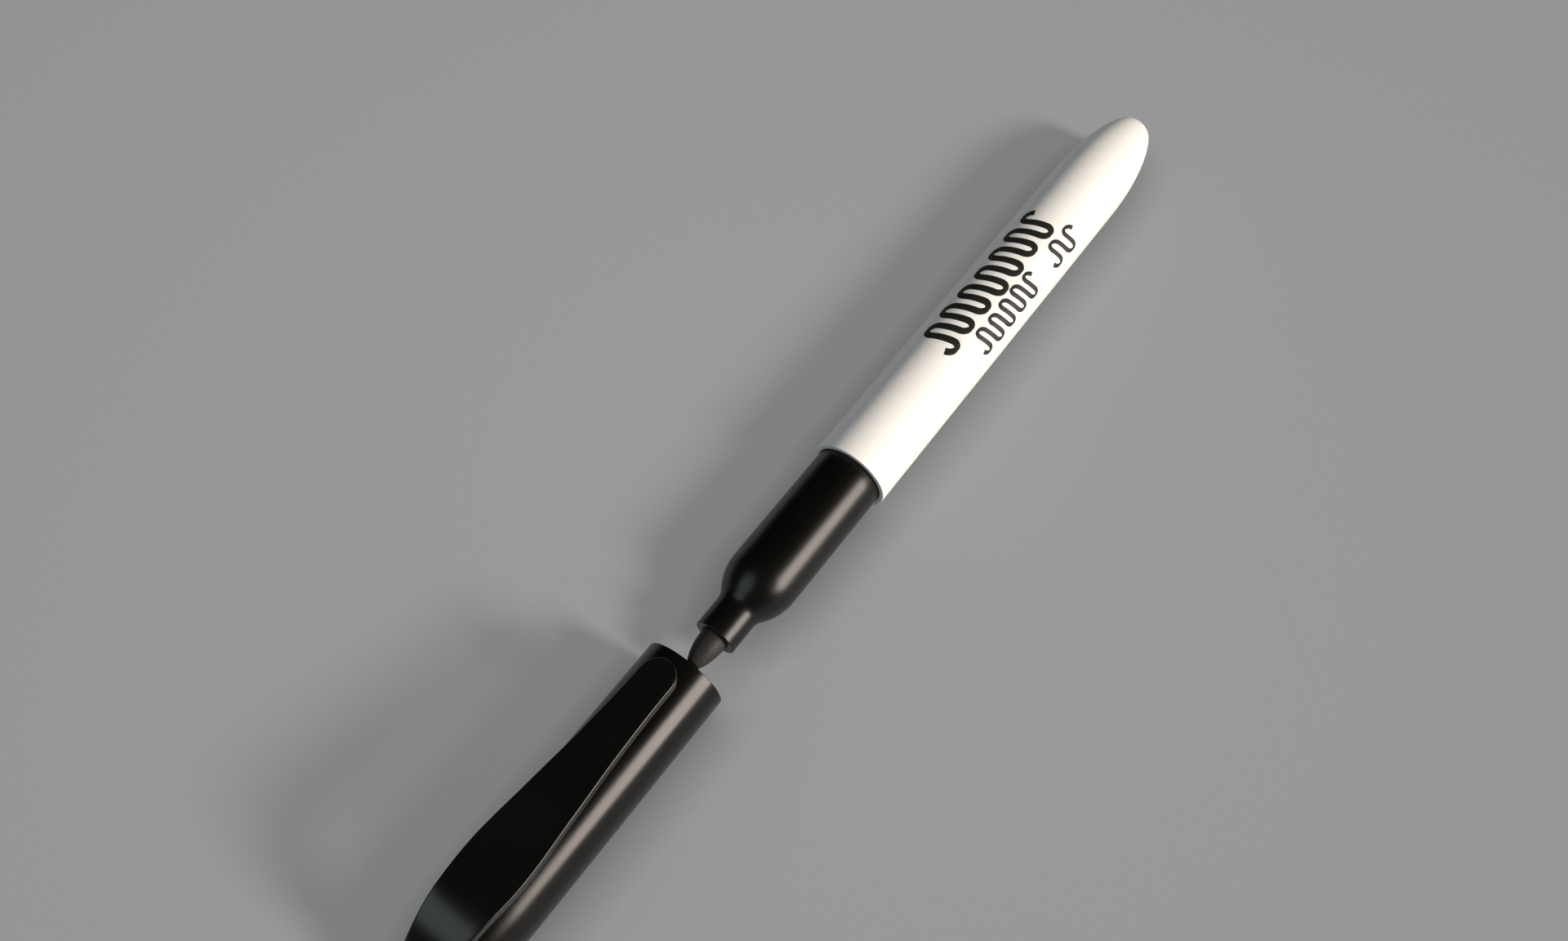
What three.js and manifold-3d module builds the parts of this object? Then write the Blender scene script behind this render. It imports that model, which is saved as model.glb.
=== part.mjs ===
// A slim whiteboard marker with a fibre reservoir, lying with its cap pulled off in front of the nib.
// Millimetres. The marker's axis is X, from the flat end of the tail at x = 0 towards the nib and the
// cap; +Z is up.
import * as THREE from "three";
import { mergeVertices } from "three/addons/utils/BufferGeometryUtils.js";
import Module from "manifold-3d";

// ---- Driving dimensions ----

// Barrel and cap share one outer diameter and one rounded taper at their closed ends.
const BODY_RADIUS = 6;
const TAPER_LENGTH = 16.7;
const TAPER_SEMI_AXIS = 18.8; // of the ellipse that the taper follows
const END_FLAT_RADIUS = 2.2;
const END_ROUND = 0.7; // length of the rounded corner between the flat end and the taper
const EDGE_BREAK = 0.15; // small chamfer on moulded rims

const BARREL_LENGTH = 82;
const BARREL_BORE_RADIUS = 4.8;
const BARREL_END_WALL = 1.6;
const SOCKET_RADIUS = 5.3; // the wider mouth of the bore, which takes the nib section
const SOCKET_DEPTH = 10;

const RIB_COUNT = 4; // inside the tail: they centre the reservoir, and a step in each one stops it
const RIB_THICKNESS = 0.8;
const RIB_START = 5;
const RIB_END = 22;
const RIB_STOP_RADIUS = 2.75;
const RIB_ROOT_RADIUS = 5; // inside the barrel's wall
const RIB_CLEARANCE = 0.1; // to the reservoir's film

const SECTION_RADIUS = 5.25;
const SECTION_LENGTH = 31; // in front of the barrel's rim
const SPIGOT_LENGTH = 9.5; // inside the barrel
const SPIGOT_RADIUS = 5.2;
const SHOULDER_START = 20; // from the barrel's rim
const SHOULDER_LENGTH = 6.6;
const NECK_FILLET = 2.8;
const NOZZLE_RADIUS = 3.12;
const SECTION_BORE_RADIUS = 4.4;
const SECTION_BORE_END = 17; // from the barrel's rim, where the bore starts to narrow
const SECTION_FUNNEL_LENGTH = 5;

const NIB_RADIUS = 2;
const NIB_LENGTH = 30;
const NIB_PROTRUSION = 4.8;
const NIB_TIP_RADIUS = 1.05;
const NIB_TIP_ROUND = 0.25;
const NIB_BULGE = 0.55; // share of the point's length over which its side stays nearly straight
const NIB_TAIL_CHAMFER = 0.6;
const NIB_CLEARANCE = 0.1;

const RESERVOIR_START = 10; // from the tail
const RESERVOIR_LENGTH = 86;
const CORE_RADIUS = 3.95;
const FILM_INNER_RADIUS = 4;
const FILM_OUTER_RADIUS = 4.15;
const FILM_SETBACK = 0.5; // the fibre stands out of the film by this much at each end
const SEAT_GAP = 0.3;

const BREATHER_RADIUS = 0.5;
const BREATHER_BORE_RADIUS = 0.25;
const BREATHER_CLEARANCE = 0.08;
const BREATHER_OVERHANG = 1; // in front of the fibre core

// The cap's own stations are measured from its mouth towards its closed end.
const CAP_MOUTH_X = 119.2; // pulled off, with the mouth just in front of the nib's tip
const CAP_LENGTH = 52.4;
const CAP_BORE_RADIUS = 5.4;
const CAP_BORE_DEPTH = 38.4; // to the step that stops the liner
const CAP_THROAT_RADIUS = 4.4;
const CAP_THROAT_END_RADIUS = 3.4;
const CAP_THROAT_END = 44;
const CAP_CORE_RADIUS = 1.6; // narrow hole that lightens the nose
const CAP_CORE_END = 50.4;

const LINER_START = 27.6;
const LINER_END = 38.2;
const LINER_BORE_RADIUS = 3.25; // closes round the nozzle when the cap is on
const LINER_LEAD_IN = 0.3;
const LINER_WALL = 0.8;
const LINER_FLOOR = 1.1;
const LINER_SKIRT_START = 31;
const LINER_SKIRT_RADIUS = 5.32;
const LINER_SKIRT_WALL = 0.7;

const CLIP_ROLL = THREE.MathUtils.degToRad(-4); // the clip stands this far round from straight up
const CLIP_GAP = 0.25; // between the clip's root and the cap
const CLIP_TIP = 2.9; // station of the rounded tip's front
const CLIP_TIP_LENGTH = 2.7;
const CLIP_TIP_HALF_WIDTH = 2.42;
const CLIP_HALF_WIDTHS = [[16, 2.8], [25, 3.5], [34, 4.12], [40, 3.78], [45, 3.15]]; // station, half width
const CLIP_END = 50.5;
const CLIP_END_HALF_WIDTH = 2.5;

// The clip from the side, as stations and heights above the axis. Its blade stands well clear of the cap
// and rises a little from the cap's mouth to the bend.
const CLIP_THICKNESS = 2;
const CLIP_MOUTH_TOP = 11.7; // the top of the blade, carried on to the cap's mouth
const CLIP_BEND = [38.5, 14.2];
const CLIP_BEND_CONTROL = [46, 14.7];
const CLIP_END_TOP = 5;
const CLIP_UNDER_BEND = [38, 12.17];
const CLIP_UNDER_CONTROL = [44, 12.56];
const CLIP_SADDLE = [46.2, 5]; // from here to its end the root hugs the cap's taper

// A bead under the tip holds the cloth of a pocket against the cap.
const BEAD = [[4.4, 10.5], [5.4, 6.4], [7.2, 6.4], [9.4, 10.8]]; // station, height
const BEAD_WIDTH = 2;

// A foot under the clip's root sits in a slot in the cap's nose, and the clip flexes about it.
const FOOT_CENTRE = 47.6;
const FOOT_LENGTH = 2.2;
const FOOT_WIDTH = 3.6;
const FOOT_BOTTOM = 3.3; // height above the axis
const FOOT_TOP = 5.4;
const FOOT_GAP = 0.3;

const ROUND_SEGMENTS = 32;
const SMALL_ROUND_SEGMENTS = 12;
const CURVE_STEPS = 4;
const OVERSHOOT = 1; // how far a cutting solid reaches past what it cuts

// ---- Geometry helpers ----

const wasm = await Module();
wasm.setup();

// Turns a profile, a Path of (radius, x) points, round the X axis.
function revolve(profile, segments = ROUND_SEGMENTS) {
  const geometry = new THREE.LatheGeometry(profile.getPoints(CURVE_STEPS), segments);
  return geometry.rotateZ(-Math.PI / 2);
}

function box(x0, x1, halfWidth, z0, z1) {
  const geometry = new THREE.BoxGeometry(x1 - x0, 2 * halfWidth, z1 - z0);
  return geometry.translate((x0 + x1) / 2, 0, (z0 + z1) / 2);
}

// Extrudes a shape drawn in the XY plane upwards from z = 0.
function plate(shape, height) {
  const options = { depth: height, bevelEnabled: false, curveSegments: CURVE_STEPS };
  return new THREE.ExtrudeGeometry(shape, options);
}

// Extrudes a shape drawn as (x, z) points sideways, evenly about y = 0.
function sideways(shape, width) {
  return plate(shape, width).translate(0, 0, -width / 2).rotateX(Math.PI / 2);
}

function toSolid(geometry) {
  const bare = geometry.clone();
  bare.deleteAttribute("normal");
  bare.deleteAttribute("uv");
  const merged = mergeVertices(bare);
  const vertProperties = merged.attributes.position.array;
  const triVerts = new Uint32Array(merged.index.array);
  return new wasm.Manifold(new wasm.Mesh({ numProp: 3, vertProperties, triVerts }));
}

function toGeometry(solid) {
  const { vertProperties, triVerts } = solid.getMesh();
  const geometry = new THREE.BufferGeometry();
  geometry.setAttribute("position", new THREE.BufferAttribute(vertProperties, 3));
  geometry.setIndex(new THREE.BufferAttribute(triVerts, 1));
  geometry.computeVertexNormals();
  return geometry;
}

// The taper of both closed ends, at a distance from the flat end.
function taperAngle(distance) {
  return Math.asin((TAPER_LENGTH - distance) / TAPER_SEMI_AXIS);
}

function taperRadius(distance, fullRadius = BODY_RADIUS) {
  return fullRadius * Math.cos(taperAngle(distance));
}

function part(name, geometry, color, roughness) {
  const material = new THREE.MeshStandardMaterial({ color, roughness, metalness: 0 });
  const mesh = new THREE.Mesh(geometry, material);
  mesh.name = name;
  return mesh;
}

// ---- Barrel and what it holds ----

function barrel() {
  const innerAngle = taperAngle(BARREL_END_WALL);
  const socketEnd = BARREL_LENGTH - SOCKET_DEPTH;
  const profile = new THREE.Path();
  profile.moveTo(0, 0);
  profile.lineTo(END_FLAT_RADIUS, 0);
  profile.quadraticCurveTo(taperRadius(0), 0, taperRadius(END_ROUND), END_ROUND);
  profile.absellipse(0, TAPER_LENGTH, BODY_RADIUS, TAPER_SEMI_AXIS, -taperAngle(END_ROUND), 0);
  profile.lineTo(BODY_RADIUS, BARREL_LENGTH - EDGE_BREAK);
  profile.lineTo(BODY_RADIUS - EDGE_BREAK, BARREL_LENGTH);
  profile.lineTo(SOCKET_RADIUS, BARREL_LENGTH);
  profile.lineTo(SOCKET_RADIUS, socketEnd);
  profile.lineTo(BARREL_BORE_RADIUS, socketEnd);
  profile.absellipse(0, TAPER_LENGTH, BARREL_BORE_RADIUS, TAPER_SEMI_AXIS, 0, -innerAngle, true);
  profile.lineTo(0, BARREL_END_WALL);
  let solid = toSolid(revolve(profile));
  for (let i = 0; i < RIB_COUNT; i += 1) {
    solid = solid.add(toSolid(rib().rotateX((i * 2 * Math.PI) / RIB_COUNT)));
  }
  return part("barrel", toGeometry(solid), 0xf4f2ec, 0.3);
}

// A rail beside the reservoir, and the step behind it.
function rib() {
  const railRadius = FILM_OUTER_RADIUS + RIB_CLEARANCE;
  const stepX = RESERVOIR_START - SEAT_GAP;
  const shape = new THREE.Shape();
  shape.moveTo(RIB_START, RIB_STOP_RADIUS);
  shape.lineTo(stepX, RIB_STOP_RADIUS);
  shape.lineTo(stepX, railRadius);
  shape.lineTo(RIB_END, railRadius);
  shape.lineTo(RIB_END, RIB_ROOT_RADIUS);
  shape.lineTo(RESERVOIR_START, RIB_ROOT_RADIUS);
  shape.lineTo(RIB_START, taperRadius(RIB_START, RIB_ROOT_RADIUS));
  return sideways(shape, RIB_THICKNESS);
}

// The black collar: a spigot inside the barrel, a plain grip, a rounded shoulder and a short nozzle.
function nibSection() {
  const rim = BARREL_LENGTH;
  const spigotEnd = rim - SPIGOT_LENGTH;
  const shoulder = rim + SHOULDER_START;
  const face = rim + SECTION_LENGTH;
  const boreEnd = rim + SECTION_BORE_END;
  const nibBore = NIB_RADIUS + NIB_CLEARANCE;
  // Two tangent arcs of the same angle lead from the grip to the nozzle.
  const angle = 2 * Math.atan((SECTION_RADIUS - NOZZLE_RADIUS) / SHOULDER_LENGTH);
  const round = SHOULDER_LENGTH / Math.sin(angle) - NECK_FILLET;
  const neckRadius = NOZZLE_RADIUS + NECK_FILLET;
  const neck = shoulder + SHOULDER_LENGTH;
  const profile = new THREE.Path();
  profile.moveTo(SECTION_BORE_RADIUS, spigotEnd);
  profile.lineTo(SPIGOT_RADIUS - EDGE_BREAK, spigotEnd);
  profile.lineTo(SPIGOT_RADIUS, spigotEnd + EDGE_BREAK);
  profile.lineTo(SPIGOT_RADIUS, rim - EDGE_BREAK);
  profile.lineTo(SECTION_RADIUS, rim);
  profile.absarc(SECTION_RADIUS - round, shoulder, round, 0, angle);
  profile.absarc(neckRadius, neck, NECK_FILLET, Math.PI + angle, Math.PI, true);
  profile.lineTo(NOZZLE_RADIUS, face - EDGE_BREAK);
  profile.lineTo(NOZZLE_RADIUS - EDGE_BREAK, face);
  profile.lineTo(nibBore, face);
  profile.lineTo(nibBore, boreEnd + SECTION_FUNNEL_LENGTH);
  profile.lineTo(SECTION_BORE_RADIUS, boreEnd);
  profile.lineTo(SECTION_BORE_RADIUS, spigotEnd);
  return part("nib_section", revolve(profile), 0x0b0a09, 0.35);
}

const NIB_TIP = BARREL_LENGTH + SECTION_LENGTH + NIB_PROTRUSION;
const NIB_TAIL = NIB_TIP - NIB_LENGTH;

// A felt rod with a bullet point. Its tail reaches into the fibre of the reservoir.
function nib() {
  const face = NIB_TIP - NIB_PROTRUSION;
  const profile = new THREE.Path();
  profile.moveTo(0, NIB_TAIL);
  profile.lineTo(NIB_RADIUS - NIB_TAIL_CHAMFER, NIB_TAIL);
  profile.lineTo(NIB_RADIUS, NIB_TAIL + NIB_TAIL_CHAMFER);
  profile.lineTo(NIB_RADIUS, face);
  const bulge = face + NIB_BULGE * NIB_PROTRUSION;
  profile.quadraticCurveTo(NIB_RADIUS, bulge, NIB_TIP_RADIUS, NIB_TIP - NIB_TIP_ROUND);
  profile.lineTo(NIB_TIP_RADIUS - NIB_TIP_ROUND, NIB_TIP);
  profile.lineTo(0, NIB_TIP);
  return part("nib", revolve(profile), 0x3a3937, 0.95);
}

// The bundle of fibre that holds the ink, with a socket for the nib and a groove for the breather.
function reservoirCore() {
  const end = RESERVOIR_START + RESERVOIR_LENGTH;
  const socketRadius = NIB_RADIUS + NIB_CLEARANCE;
  const socketEnd = NIB_TAIL - NIB_CLEARANCE;
  const profile = new THREE.Path();
  profile.moveTo(0, RESERVOIR_START);
  profile.lineTo(CORE_RADIUS, RESERVOIR_START);
  profile.lineTo(CORE_RADIUS, end);
  profile.lineTo(socketRadius, end);
  profile.lineTo(socketRadius, socketEnd);
  profile.lineTo(0, socketEnd);
  const half = BREATHER_RADIUS + BREATHER_CLEARANCE;
  const groove = box(
    RESERVOIR_START - OVERSHOOT, end + OVERSHOOT, half, -CORE_RADIUS - OVERSHOOT, 2 * half - CORE_RADIUS,
  );
  const solid = toSolid(revolve(profile)).subtract(toSolid(groove));
  return part("reservoir_core", toGeometry(solid), 0x23211f, 0.95);
}

function tube(name, start, end, innerRadius, outerRadius, segments, color) {
  const profile = new THREE.Path();
  profile.moveTo(innerRadius, start);
  profile.lineTo(outerRadius, start);
  profile.lineTo(outerRadius, end);
  profile.lineTo(innerRadius, end);
  profile.lineTo(innerRadius, start);
  return part(name, revolve(profile, segments), color, 0.25);
}

function reservoirFilm() {
  const start = RESERVOIR_START + FILM_SETBACK;
  const end = RESERVOIR_START + RESERVOIR_LENGTH - FILM_SETBACK;
  return tube(
    "reservoir_film", start, end, FILM_INNER_RADIUS, FILM_OUTER_RADIUS, ROUND_SEGMENTS, 0xcfd3d4,
  );
}

// The thin tube that lets air back in as ink leaves. It lies in the core's groove.
function breatherTube() {
  const end = RESERVOIR_START + RESERVOIR_LENGTH + BREATHER_OVERHANG;
  const mesh = tube(
    "breather_tube", RESERVOIR_START, end, BREATHER_BORE_RADIUS, BREATHER_RADIUS,
    SMALL_ROUND_SEGMENTS, 0xe6e6e2,
  );
  mesh.position.z = BREATHER_RADIUS + BREATHER_CLEARANCE - CORE_RADIUS;
  return mesh;
}

// ---- Cap: built with its mouth at x = 0 and its closed end towards +X ----

const CAP_TAPER_START = CAP_LENGTH - TAPER_LENGTH;

// The cap's outside from its mouth to the middle of its closed end, grown by a gap.
function addCapOutside(profile, gap) {
  const angle = taperAngle(END_ROUND);
  const radius = BODY_RADIUS + gap;
  profile.lineTo(radius, EDGE_BREAK);
  profile.absellipse(0, CAP_TAPER_START, radius, TAPER_SEMI_AXIS + gap, 0, angle);
  profile.quadraticCurveTo(taperRadius(0) + gap, CAP_LENGTH + gap, END_FLAT_RADIUS, CAP_LENGTH + gap);
  profile.lineTo(0, CAP_LENGTH + gap);
}

function capShell() {
  const profile = new THREE.Path();
  profile.moveTo(0, CAP_CORE_END);
  profile.lineTo(CAP_CORE_RADIUS, CAP_CORE_END);
  profile.lineTo(CAP_CORE_RADIUS, CAP_THROAT_END);
  profile.lineTo(CAP_THROAT_END_RADIUS, CAP_THROAT_END);
  profile.lineTo(CAP_THROAT_RADIUS, CAP_BORE_DEPTH);
  profile.lineTo(CAP_BORE_RADIUS, CAP_BORE_DEPTH);
  profile.lineTo(CAP_BORE_RADIUS, EDGE_BREAK);
  profile.lineTo(CAP_BORE_RADIUS + EDGE_BREAK, 0);
  profile.lineTo(BODY_RADIUS - EDGE_BREAK, 0);
  addCapOutside(profile, 0);
  const reach = FOOT_LENGTH / 2 + FOOT_GAP;
  const slot = box(
    FOOT_CENTRE - reach, FOOT_CENTRE + reach, FOOT_WIDTH / 2 + FOOT_GAP,
    FOOT_BOTTOM - FOOT_GAP, BODY_RADIUS,
  );
  const solid = toSolid(revolve(profile)).subtract(toSolid(slot.rotateX(CLIP_ROLL)));
  return part("cap_shell", toGeometry(solid), 0x0b0a09, 0.3);
}

// The inner seal: a cup that closes round the nozzle, on a skirt that fits the cap's bore.
function capLiner() {
  const cupRadius = LINER_BORE_RADIUS + LINER_WALL;
  const floor = LINER_END - LINER_FLOOR;
  const skirtInner = LINER_SKIRT_RADIUS - LINER_SKIRT_WALL;
  const profile = new THREE.Path();
  profile.moveTo(0, floor);
  profile.lineTo(LINER_BORE_RADIUS, floor);
  profile.lineTo(LINER_BORE_RADIUS, LINER_START + LINER_LEAD_IN);
  profile.lineTo(LINER_BORE_RADIUS + LINER_LEAD_IN, LINER_START);
  profile.lineTo(cupRadius, LINER_START);
  profile.lineTo(cupRadius, floor);
  profile.lineTo(skirtInner, floor);
  profile.lineTo(skirtInner, LINER_SKIRT_START);
  profile.lineTo(LINER_SKIRT_RADIUS, LINER_SKIRT_START);
  profile.lineTo(LINER_SKIRT_RADIUS, LINER_END);
  profile.lineTo(0, LINER_END);
  return part("cap_liner", revolve(profile), 0xd9dbd8, 0.35);
}

// The clip from above: a rounded tip, sides that widen along the blade and a root that narrows.
function clipOutline() {
  const tipBase = CLIP_TIP + CLIP_TIP_LENGTH;
  const side = [...CLIP_HALF_WIDTHS, [CLIP_END, CLIP_END_HALF_WIDTH]];
  const left = side.map(([x, y]) => new THREE.Vector2(x, y));
  const right = side.map(([x, y]) => new THREE.Vector2(x, -y)).reverse();
  const outline = new THREE.Shape();
  outline.moveTo(tipBase, CLIP_TIP_HALF_WIDTH);
  outline.splineThru(left);
  outline.lineTo(CLIP_END, -CLIP_END_HALF_WIDTH);
  outline.splineThru([...right.slice(1), new THREE.Vector2(tipBase, -CLIP_TIP_HALF_WIDTH)]);
  const [back, front] = [-Math.PI / 2, Math.PI / 2];
  outline.absellipse(tipBase, 0, CLIP_TIP_LENGTH, CLIP_TIP_HALF_WIDTH, back, front, true);
  return outline;
}

// The clip from the side: a straight blade, then a bend down to the cap's closed end.
function clipSide() {
  const side = new THREE.Shape();
  side.moveTo(0, CLIP_MOUTH_TOP);
  side.lineTo(...CLIP_BEND);
  side.quadraticCurveTo(...CLIP_BEND_CONTROL, CLIP_END, CLIP_END_TOP);
  side.lineTo(CLIP_END, 0);
  side.lineTo(CLIP_SADDLE[0], 0);
  side.lineTo(...CLIP_SADDLE);
  side.quadraticCurveTo(...CLIP_UNDER_CONTROL, ...CLIP_UNDER_BEND);
  side.lineTo(0, CLIP_MOUTH_TOP - CLIP_THICKNESS);
  return side;
}

function clipBead() {
  return sideways(new THREE.Shape(BEAD.map(([x, z]) => new THREE.Vector2(x, z))), BEAD_WIDTH);
}

function capClip() {
  const capOutside = new THREE.Path();
  capOutside.moveTo(0, EDGE_BREAK);
  addCapOutside(capOutside, CLIP_GAP);
  const foot = box(
    FOOT_CENTRE - FOOT_LENGTH / 2, FOOT_CENTRE + FOOT_LENGTH / 2, FOOT_WIDTH / 2, FOOT_BOTTOM, FOOT_TOP,
  );
  const height = CLIP_BEND_CONTROL[1];
  const solid = toSolid(plate(clipOutline(), height))
    .intersect(toSolid(sideways(clipSide(), 2 * BODY_RADIUS)))
    .subtract(toSolid(revolve(capOutside)))
    .add(toSolid(clipBead()))
    .add(toSolid(foot));
  const mesh = part("cap_clip", toGeometry(solid), 0x0b0a09, 0.3);
  mesh.rotation.x = CLIP_ROLL;
  return mesh;
}

// ---- Assembly ----

const cap = new THREE.Group();
cap.add(capShell(), capLiner(), capClip());
cap.position.x = CAP_MOUTH_X;

const marker = new THREE.Group();
marker.add(barrel(), nibSection(), nib());
marker.add(reservoirCore(), reservoirFilm(), breatherTube());
marker.add(cap);

export default marker;
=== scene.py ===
"""A slim whiteboard marker with its cap pulled off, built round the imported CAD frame.

Meshes are drawn in millimetres and turned into metres when each piece is made. The marker's axis is X,
from the flat end of the tail at x = 0 towards the nib and the cap, and +Z is up.
"""
import math

import bmesh
import bpy
from mathutils import Matrix, Vector, noise


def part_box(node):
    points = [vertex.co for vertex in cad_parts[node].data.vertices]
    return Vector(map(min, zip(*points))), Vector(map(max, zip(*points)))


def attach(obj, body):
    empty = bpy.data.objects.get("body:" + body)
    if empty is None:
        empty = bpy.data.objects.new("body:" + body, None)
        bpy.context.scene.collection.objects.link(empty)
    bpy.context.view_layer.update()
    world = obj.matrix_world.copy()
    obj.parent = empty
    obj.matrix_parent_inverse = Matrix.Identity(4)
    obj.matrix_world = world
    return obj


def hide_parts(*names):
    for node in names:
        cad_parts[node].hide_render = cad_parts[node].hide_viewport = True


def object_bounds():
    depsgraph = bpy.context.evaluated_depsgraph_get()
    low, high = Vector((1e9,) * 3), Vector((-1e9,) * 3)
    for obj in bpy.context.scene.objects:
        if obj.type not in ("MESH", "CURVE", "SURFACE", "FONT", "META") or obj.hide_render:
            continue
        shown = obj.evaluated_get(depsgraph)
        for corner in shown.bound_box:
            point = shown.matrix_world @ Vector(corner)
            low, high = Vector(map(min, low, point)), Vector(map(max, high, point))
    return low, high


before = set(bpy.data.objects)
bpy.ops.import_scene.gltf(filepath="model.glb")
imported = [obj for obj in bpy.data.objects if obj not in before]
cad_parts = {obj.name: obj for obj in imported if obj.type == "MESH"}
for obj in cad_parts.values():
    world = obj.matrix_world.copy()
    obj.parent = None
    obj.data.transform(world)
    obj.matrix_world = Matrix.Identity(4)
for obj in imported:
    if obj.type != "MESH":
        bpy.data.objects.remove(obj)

CAD_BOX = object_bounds()
MM = 0.001


def cad(node):
    """Lowest and highest corner of a CAD node, in millimetres."""
    low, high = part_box(node)
    return low / MM, high / MM


# ---- Sizes taken from the frame, in millimetres ----

BARREL_END = cad("barrel")[1].x
BODY_RADIUS = cad("barrel")[1].z
SECTION_START = cad("nib_section")[0].x
SECTION_FACE = cad("nib_section")[1].x
SECTION_RADIUS = cad("nib_section")[1].z
NIB_TAIL = cad("nib")[0].x
NIB_TIP = cad("nib")[1].x
NIB_RADIUS = cad("nib")[1].z
CORE_START = cad("reservoir_core")[0].x
CORE_END = cad("reservoir_core")[1].x
CORE_RADIUS = cad("reservoir_core")[1].z
FILM_START = cad("reservoir_film")[0].x
FILM_END = cad("reservoir_film")[1].x
FILM_RADIUS = cad("reservoir_film")[1].z
BREATHER_END = cad("breather_tube")[1].x
BREATHER_RADIUS = cad("breather_tube")[1].y
BREATHER_BOTTOM = cad("breather_tube")[0].z
CAP_MOUTH = cad("cap_shell")[0].x
CAP_END = cad("cap_shell")[1].x
LINER_START = cad("cap_liner")[0].x
LINER_END = cad("cap_liner")[1].x
LINER_RADIUS = cad("cap_liner")[1].z
CLIP_TIP = cad("cap_clip")[0].x
CLIP_END = cad("cap_clip")[1].x
FLOOR = CAD_BOX[0].z

# ---- Sizes inside the pieces, in millimetres ----

TAPER_LENGTH = 16.7  # of the closed ends of the barrel and the cap
TAPER_SEMI_AXIS = 18.8  # of the ellipse that the taper follows
END_FLAT_RADIUS = 2.2
END_ROUND = 0.7
RIM_ROUND = 0.1  # fillet on moulded rims

GATE_RADIUS = 0.9  # the shallow dimple left by the mould's gate, in the middle of a closed end
GATE_DEPTH = 0.25
GATE_DRAFT = 0.1  # how much narrower the dimple is at its floor
GATE_NUB_RADIUS = 0.3
GATE_NUB_HEIGHT = 0.08

BORE_RADIUS = 4.8
END_WALL = 1.6
SOCKET_RADIUS = 5.3
SOCKET_DEPTH = 10

RIB_COUNT = 4
RIB_THICKNESS = 0.8
RIB_STATIONS = (5, 9.7, 22)  # start, step behind the reservoir, end
RIB_RADII = (2.75, 4.25, 5)  # of the step, of the rail beside the reservoir, of the root in the wall

SPIGOT_RADIUS = 5.2
SPIGOT_FLARE = 0.1  # length over which the spigot widens to the grip, at the barrel's rim
SHOULDER_START = BARREL_END + 20
SHOULDER_LENGTH = 6.6
NECK_FILLET = 2.8
NOZZLE_RADIUS = 3.12
SECTION_BORE_RADIUS = 4.4
SECTION_BORE_END = BARREL_END + 17
FUNNEL_LENGTH = 5
NIB_CLEARANCE = 0.1

NIB_TIP_RADIUS = 1.05
NIB_TIP_ROUND = 0.25
NIB_BULGE = 0.55
NIB_TAIL_CHAMFER = 0.6
NIB_FRONT_RING = 0.22  # radius of a ring of points on the flat front, for the felt's bumps
FELT_ROUGHNESS = 0.02  # height of the felt's bumps
FELT_FADE = 0.5  # distance from the nozzle over which the bumps grow to full height
FIBRE_PITCH = (0.5, 3, 3)  # of the fibres' noise along X, Y and Z, per millimetre
GRAIN_PITCH = 2.5  # of the grain's noise, which is the same in all directions

FILM_WALL = 0.15
BREATHER_BORE_RADIUS = 0.25
BREATHER_CLEARANCE = 0.08

CAP_BORE_RADIUS = 5.4
CAP_BORE_DEPTH = 38.4
CAP_THROAT_RADII = (4.4, 3.4)
CAP_THROAT_END = 44
CAP_CORE_RADIUS = 1.6
CAP_CORE_END = 50.4

LINER_BORE_RADIUS = 3.25
LINER_WALL = 0.8
LINER_FLOOR = 1.1
LINER_SKIRT_START = LINER_START + 3.4
LINER_SKIRT_WALL = 0.7

CLIP_ROLL = math.radians(-4)
CLIP_GAP = 0.25  # between the clip's root and the cap
CLIP_HALF_WIDTHS = ((5.6, 2.42), (16, 2.8), (25, 3.5), (34, 4.12), (40, 3.78), (45, 3.15), (50.5, 2.5))
CLIP_THICKNESS = 2
CLIP_MOUTH_TOP = 11.7  # height of the blade's top, carried on to the cap's mouth
CLIP_BEND = ((38.5, 14.2), (46, 14.7), (50.5, 5))  # start, control point and end of the top's bend
CLIP_UNDER_BEND = ((38, 12.17), (44, 12.56), (46.5, 3.9))  # the same for the underside
CLIP_TOP_ROUND = 0.22
CLIP_BOTTOM_ROUND = 0.14
CLIP_CORNER = 0.7  # of the root, seen from above
CLIP_STEPS = (0.75, 0.2)  # between stations along the blade and round the bend
CLIP_COLUMNS = 10  # of faces across the clip
BEAD_OUTLINE = ((4.4, 10.5), (5.4, 6.4), (7.2, 6.4), (9.4, 10.8))  # under the tip, from the side
BEAD_WIDTH = 2
BEAD_ROUND = 0.35
FOOT_CENTRE = 47.6
FOOT_SIZE = (2.2, 3.6)
FOOT_HEIGHTS = (3.3, 5.4)
FOOT_GAP = 0.3
FOOT_ROUND = 0.15

PRINT_HEIGHT = 0.012  # how far the ink stands off the barrel
PRINT_DEPTH = 0.02  # how far each stroke reaches into the barrel's surface
PRINT_STEP = 0.15  # between points along a stroke
PRINT_COLUMNS = 6  # of faces across a stroke
PRINT_TURN_POINTS = 24
PRINT_UNEVENNESS = 0.12  # share by which the turns of a scribble differ in height

# The printed strokes: name, shape of the scribble, and how it is laid on the barrel
PRINTS = (
    ("print_bold", {"length": 31, "amplitude": 2.7, "waves": 7, "slant": 0.25},
     {"start": 29, "turn": math.radians(8), "width": 1.25, "thin_share": 0.6}),
    ("print_thin", {"length": 16, "amplitude": 1.9, "waves": 5, "slant": 0.35},
     {"start": 39, "turn": math.radians(-45), "width": 0.8, "thin_share": 0.55}),
    ("print_short", {"length": 7.5, "amplitude": 1.8, "waves": 2, "slant": 0.35},
     {"start": 27.5, "turn": math.radians(-46), "width": 0.8, "thin_share": 0.55}),
)

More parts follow.
